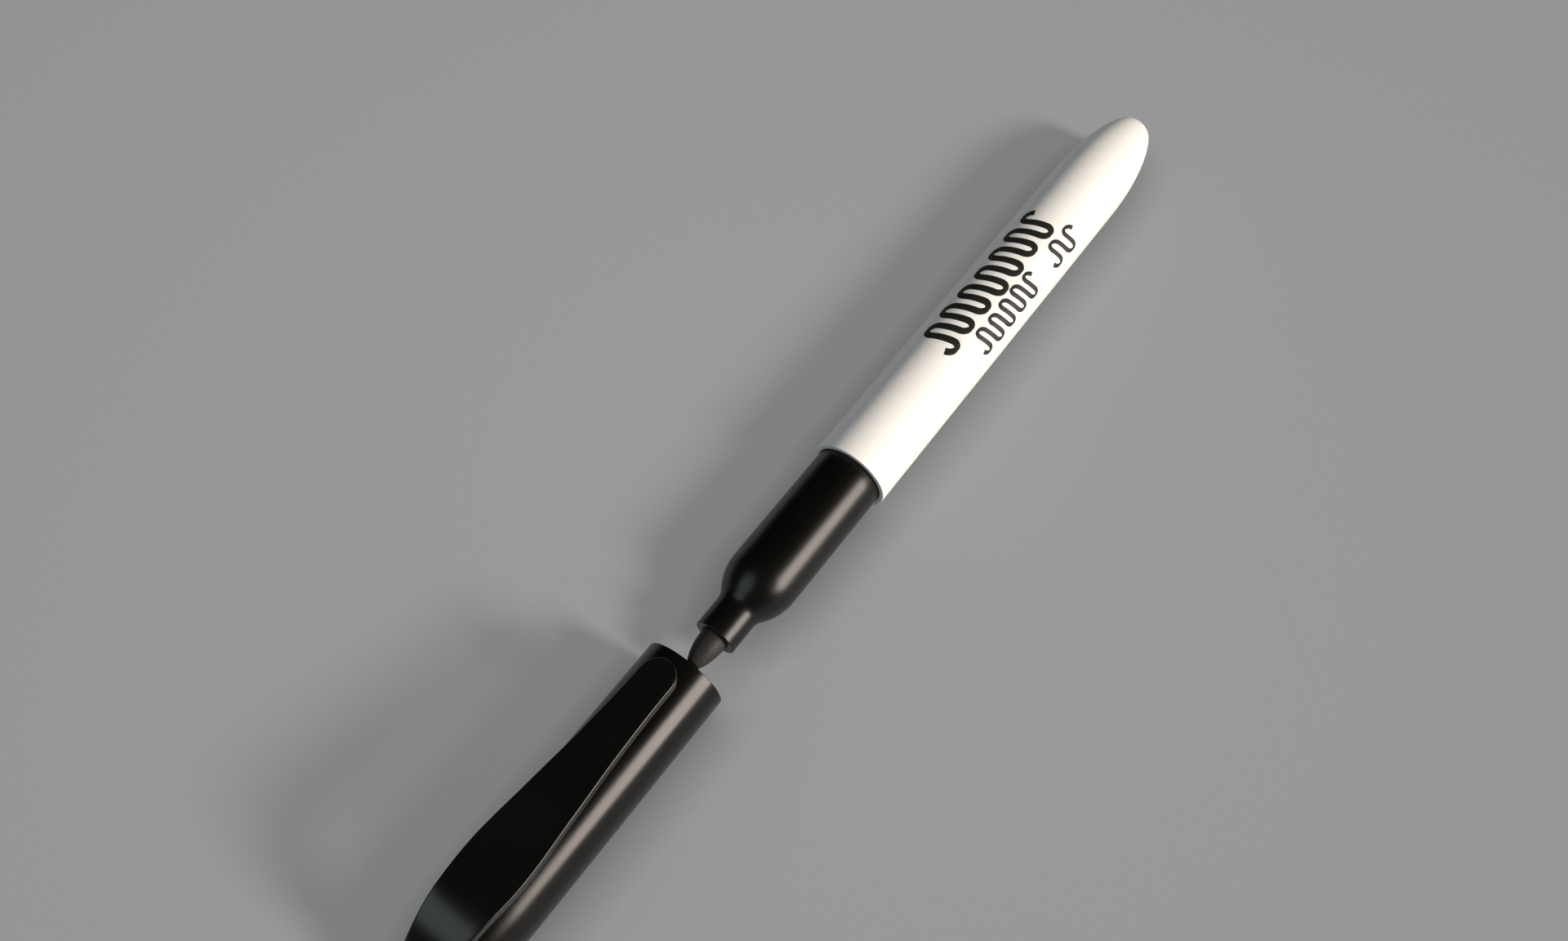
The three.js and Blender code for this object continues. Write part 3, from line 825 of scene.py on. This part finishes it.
def clip_outline():
    """Half of the clip from above, as (station, y), from the tip's front to the middle of the root."""
    tip = CLIP_TIP - CAP_MOUTH
    end = CLIP_END - CAP_MOUTH
    base, tip_width = CLIP_HALF_WIDTHS[0]
    steps = [math.pi / 2 * i / 14 for i in range(14)]
    half = [(base - (base - tip) * math.cos(a), tip_width * math.sin(a)) for a in steps]
    bend = CLIP_UNDER_BEND[0][0]
    blade_step, bend_step = CLIP_STEPS
    stations = even_steps(base, bend, blade_step) + even_steps(bend, end - CLIP_CORNER, bend_step)[1:]
    half += [(s, clip_half_width(s)) for s in stations]
    last = half[-1][1]
    turn = [math.pi / 2 * i / 6 for i in range(1, 7)]
    half += [(end - CLIP_CORNER * (1 - math.sin(a)), last - CLIP_CORNER * (1 - math.cos(a))) for a in turn]
    half += [(end, (last - CLIP_CORNER) * k / 3) for k in (2, 1, 0)]
    return half


def clip_edge(ring, rounding, angle, upper):
    """Points round the clip's outline at one angle of the fillet on its upper or lower edge."""
    points = []
    for i, here in enumerate(ring):
        along = Vector(ring[(i + 1) % len(ring)]) - Vector(ring[i - 1])
        inward = Vector((along.y, -along.x)).normalized()
        s, y = Vector(here) + inward * rounding * (1 - math.sin(angle))
        drop = rounding * (1 - math.cos(angle))
        z = clip_top(s) - drop if upper else clip_underside(s, y) + drop
        points.append((s, y, z))
    return points


def clip_blade():
    """The clip's blade and bend: an edge band of rings, closed by rungs across its top and underside."""
    half = clip_outline()
    ring = half + [(s, -y) for s, y in reversed(half[1:-1])]
    count = len(ring)
    arcs = [math.pi / 2 * i / 4 for i in range(5)]
    levels = [(CLIP_TOP_ROUND, a, True) for a in arcs]
    levels += [(CLIP_BOTTOM_ROUND, a, False) for a in reversed(arcs)]
    points = []
    for level in levels:
        points += clip_edge(ring, *level)
    last = count * (len(levels) - 1)
    faces = []
    for first in range(0, last, count):
        for i in range(count):
            j = (i + 1) % count
            faces.append([first + i, first + j, first + count + j, first + count + i])
    close_with_rungs(points, faces, 0, len(half), count, lambda s, y: clip_top(s))
    close_with_rungs(points, faces, last, len(half), count, clip_underside)
    return solid("clip_blade", [(CAP_MOUTH + s, y, z) for s, y, z in points], faces)


def cap_clip():
    """The clip: its blade with the bead under the tip, and the foot that sits in the cap's slot."""
    made = clip_blade()
    cut(made, clip_bead(), "UNION")
    made.data.transform(Matrix.Rotation(CLIP_ROLL, 4, "X"))
    cut(made, clip_foot("foot", 0, FOOT_HEIGHTS[1]), "UNION")
    return settle_normals(made, math.radians(60))


def clip_bead():
    """The bead under the clip's tip, which holds the cloth of a pocket."""
    outline = [(CAP_MOUTH + s, -BEAD_WIDTH / 2, z) for s, z in BEAD_OUTLINE]
    made = extrude("bead", outline, (0, BEAD_WIDTH, 0))
    round_edges(made, BEAD_ROUND)
    return made


def close_with_rungs(points, faces, first, half_count, count, height):
    """Fills a ring with rungs that join each point to its mirror image, at height(station, y)."""
    columns = CLIP_COLUMNS
    rungs = []
    for i in range(half_count):
        left = first + i
        right = first + (count - i) % count
        if left == right:
            rungs.append([left] * (columns + 1))
            continue
        rung = [left]
        station, y, _ = points[left]
        for k in range(1, columns):
            across = y * (1 - 2 * k / columns)
            rung.append(len(points))
            points.append((station, across, height(station, across)))
        rungs.append(rung + [right])
    for near, far in zip(rungs, rungs[1:]):
        for k in range(columns):
            corners = [near[k], near[k + 1], far[k + 1], far[k]]
            faces.append(list(dict.fromkeys(corners)))


# ---- Print on the barrel: sample strokes ----


def scribble(length, amplitude, waves, slant):
    """A slanted scribble of straight strokes joined by round turns, as closely spaced points."""
    turn_radius = length / (4 * waves)
    corners = []
    for k in range(2 * waves):
        centre = turn_radius * (2 * k + 1)
        side = 1 if k % 2 == 0 else -1
        reach = (amplitude - turn_radius) * (1 - PRINT_UNEVENNESS * math.sin(2.3 * k + 0.7))
        for i in range(PRINT_TURN_POINTS + 1):
            angle = math.pi * i / PRINT_TURN_POINTS
            across = side * (reach + turn_radius * math.sin(angle))
            corners.append(Vector((centre - turn_radius * math.cos(angle) + slant * across, across)))
    points = []
    for start, end in zip(corners, corners[1:]):
        parts = max(1, math.ceil((end - start).length / PRINT_STEP))
        points += [start.lerp(end, k / parts) for k in range(parts)]
    return points + corners[-1:]


def stroke(name, path, start, turn, width, thin_share):
    """A printed stroke laid on the barrel, broad on its down strokes and thinner where it turns."""
    columns = PRINT_COLUMNS
    top, bottom = [], []
    for i, centre in enumerate(path):
        along = path[min(i + 1, len(path) - 1)] - path[max(i - 1, 0)]
        across = Vector((-along.y, along.x)).normalized()
        upright = abs(along.normalized().y)
        half = width / 2 * (thin_share + (1 - thin_share) * upright)
        for k in range(columns + 1):
            share = 2 * k / columns - 1
            flat = centre + across * half * share
            lift = PRINT_HEIGHT * (1 - share ** 4)
            top.append(on_barrel(start + flat.x, turn + flat.y / BODY_RADIUS, lift))
            bottom.append(on_barrel(start + flat.x, turn + flat.y / BODY_RADIUS, -PRINT_DEPTH))
    row = columns + 1
    count = len(top)
    faces = []
    for i in range(len(path) - 1):
        for k in range(columns):
            a = i * row + k
            faces.append([a, a + 1, a + row + 1, a + row])
            faces.append([count + a, count + a + row, count + a + row + 1, count + a + 1])
        for edge in (i * row, i * row + columns):
            faces.append([edge, edge + row, count + edge + row, count + edge])
    for edge in (0, count - row):
        for k in range(columns):
            faces.append([edge + k, edge + k + 1, count + edge + k + 1, count + edge + k])
    return solid(name, top + bottom, faces)


def on_barrel(x, angle, lift):
    """A point near the barrel's surface, by its angle from the top towards -Y."""
    radius = BODY_RADIUS + lift
    return (x, -radius * math.sin(angle), radius * math.cos(angle))


# ---- Stage: floor, lights and camera ----


def direction(azimuth, elevation):
    """Unit vector from the object to a viewer. At azimuth 0 the viewer looks along +Y."""
    flat = math.cos(elevation)
    return Vector((math.sin(azimuth) * flat, -math.cos(azimuth) * flat, math.sin(elevation)))


def add_light(name, angles, distance, size, power, colour):
    """An oval lamp that faces the middle of the view."""
    data = bpy.data.lights.new(name, "AREA")
    data.shape = "ELLIPSE"
    data.size, data.size_y = size
    data.energy = power
    data.color = colour
    made = bpy.data.objects.new(name, data)
    bpy.context.scene.collection.objects.link(made)
    back = direction(math.radians(angles[0]), math.radians(angles[1]))
    made.location = LOOK_AT + back * distance
    made.rotation_mode = "QUATERNION"
    made.rotation_quaternion = back.to_track_quat("Z", "Y")
    return made


def lights():
    """A soft warm key, the wider diffuser seen in reflections of it, and a cool fill."""
    add_light("key", **KEY).visible_glossy = False
    add_light("diffuser", **DIFFUSER).visible_diffuse = False
    add_light("fill", **FILL)


def floor():
    reach = FLOOR_REACH
    corners = [(-reach, -reach), (reach, -reach), (reach, reach), (-reach, reach)]
    low = FLOOR / MM
    made = solid("floor", [(x, y, low) for x, y in corners], [[0, 1, 2, 3]])
    made.data.materials.append(paper())


def ambient():
    """A dim surround, dimmer still in reflections, that the camera sees as pale as the floor."""
    world = bpy.data.worlds.new("studio")
    world.use_nodes = True
    tree = world.node_tree
    back = tree.nodes["Background"]
    rays = add_node(tree, "LightPath").outputs
    dimming = {0: rays["Is Glossy Ray"], 1: 0, 2: 1, 3: SURROUND, 4: SURROUND_REFLECTED}
    dim = add_node(tree, "MapRange", dimming).outputs[0]
    seen = {0: rays["Is Camera Ray"], 1: BACKDROP, 2: dim}
    strength = add_node(tree, "Math", seen, operation="MULTIPLY_ADD").outputs[0]
    tree.links.new(strength, back.inputs["Strength"])
    back.inputs["Color"].default_value = SURROUND_COLOUR
    bpy.context.scene.world = world


def camera():
    data = bpy.data.cameras.new("camera")
    data.lens = CAMERA_LENS
    data.clip_start = 0.01
    made = bpy.data.objects.new("camera", data)
    bpy.context.scene.collection.objects.link(made)
    back = direction(CAMERA_AZIMUTH, CAMERA_ELEVATION)
    made.location = LOOK_AT + back * CAMERA_DISTANCE
    made.rotation_mode = "QUATERNION"
    made.rotation_quaternion = back.to_track_quat("Z", "Y")
    bpy.context.scene.camera = made


# ---- Assembly ----

section_black = black_plastic("section_black", 0.3, 1.52)
cap_black = black_plastic("cap_black", 0.23, 1.5)
clip_black = black_plastic("clip_black", 0.28, 1.62)
white = white_plastic()
liner_white = soft_plastic("liner_white", (0.62, 0.63, 0.61, 1), (0.72, 0.73, 0.71, 1), 0.4)
tube_white = soft_plastic("tube_white", (0.7, 0.7, 0.68, 1), (0.8, 0.8, 0.78, 1), 0.3)

add_piece(barrel(), "marker", "barrel_plastic", white, "barrel")
add_piece(nib_section(), "marker", "section_plastic", section_black, "nib_section")
add_piece(nib(), "marker", "nib_felt", felt(), "nib")
add_piece(reservoir_core(), "marker", "reservoir_fibre", fibre(), "reservoir_core")
add_piece(reservoir_film(), "marker", "reservoir_wrap", film(), "reservoir_film")
add_piece(breather_tube(), "marker", "breather_plastic", tube_white, "breather_tube")
add_piece(cap_liner(), "liner", "liner_plastic", liner_white, "cap_liner")
add_piece(cap_shell(), "cap", "cap_plastic", cap_black, "cap_shell")
add_piece(cap_clip(), "clip", "cap_plastic", clip_black, "cap_clip")

print_ink = ink()
for name, shape, laid in PRINTS:
    add_piece(stroke(name, scribble(**shape), **laid), "marker", "barrel_plastic", print_ink)

floor()
ambient()
lights()
camera()
bpy.context.scene.view_settings.view_transform = "Standard"
